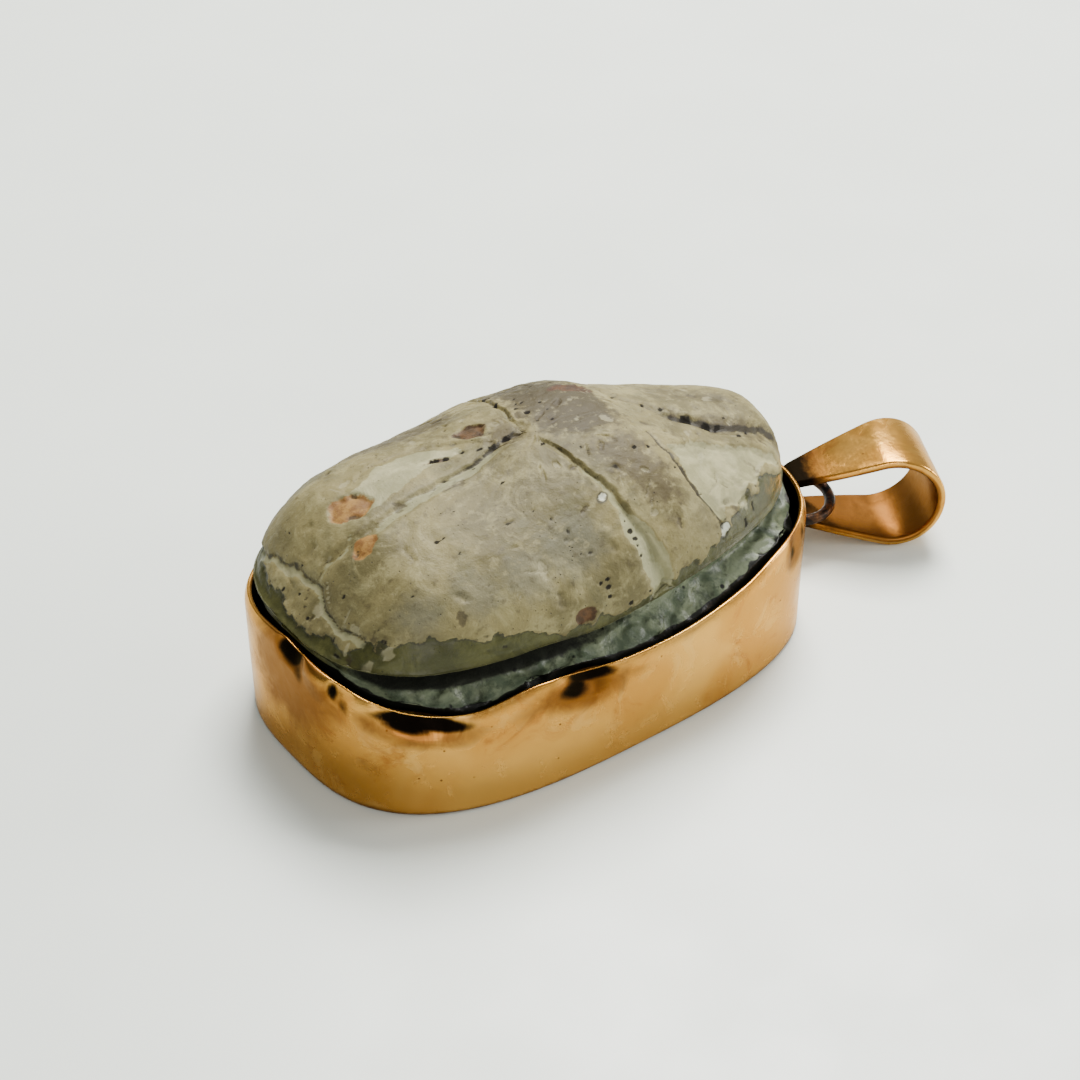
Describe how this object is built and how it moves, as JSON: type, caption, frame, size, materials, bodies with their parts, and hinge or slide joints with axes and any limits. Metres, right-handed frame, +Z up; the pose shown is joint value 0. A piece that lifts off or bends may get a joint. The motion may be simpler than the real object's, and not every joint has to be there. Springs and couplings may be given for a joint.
{
  "type": "scarab amulet",
  "caption": "Worn carved stone beetle in an oval gold band with a wavy rubbed-over lip, hung from a small wire ring and a tapered folded bail.",
  "frame": {"origin": "middle of the underside of the whole pendant's box, on the surface it lies on", "axes": "+X from the beetle's tail to its head and the bail, +Y across to the side away from the hollows in the gold, +Z up from the flat back"},
  "size_m": [0.027, 0.0126, 0.009],
  "materials": {
    "stone": "worn, dull, with remains of a pale blue-green glaze",
    "gold": "low-carat gold, polished and worn, tarnished in the hollows",
    "tarnished_gold": "dull brown tarnish over gold"
  },
  "bodies": {
    "root": {"scarab": "stone", "bezel": "gold", "jump_ring": "tarnished_gold", "bail": "gold"}
  },
  "joints": []
}
